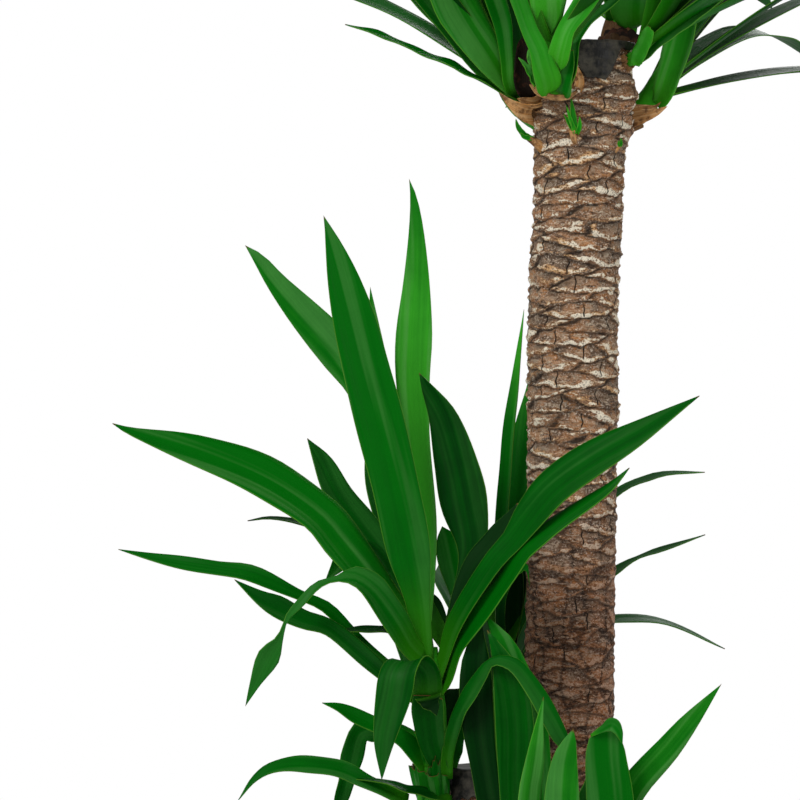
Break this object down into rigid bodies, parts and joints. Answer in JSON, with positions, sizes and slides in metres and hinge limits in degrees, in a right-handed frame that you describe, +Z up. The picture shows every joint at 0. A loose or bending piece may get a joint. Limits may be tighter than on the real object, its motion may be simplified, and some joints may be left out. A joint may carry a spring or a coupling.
{
  "type": "potted yucca",
  "caption": "Cane yucca in a plain nursery pot: sawn, wax-topped canes with ringed bark and rosettes of long sword-shaped leaves",
  "frame": {"origin": "centre of the underside of the pot, on the surface that it stands on", "axes": "+Z up along the canes, -Y towards the side that the picture shows, +X to the right in the picture"},
  "size_m": [0.7739, 0.8535, 1.71],
  "materials": {
    "pot": "matte",
    "soil": "matte",
    "bark": "matte",
    "wax": "satin",
    "leaf": "satin",
    "bud": "satin"
  },
  "bodies": {
    "root": {"pot": "pot", "soil": "soil", "cane_tall": "bark", "cane_middle": "bark", "cane_short": "bark", "wax_tall": "wax", "wax_middle": "wax", "wax_short": "wax", "shoot_tall_left": "leaf", "shoot_tall_front": "leaf", "shoot_tall_back": "leaf", "shoot_tall_right": "leaf", "shoot_tall_far": "leaf", "shoot_middle_left": "leaf", "shoot_middle_rear": "leaf", "shoot_short_left": "leaf", "shoot_short_right": "leaf", "bud_left": "bud", "bud_front": "bud", "bud_right": "bud"}
  },
  "joints": []
}
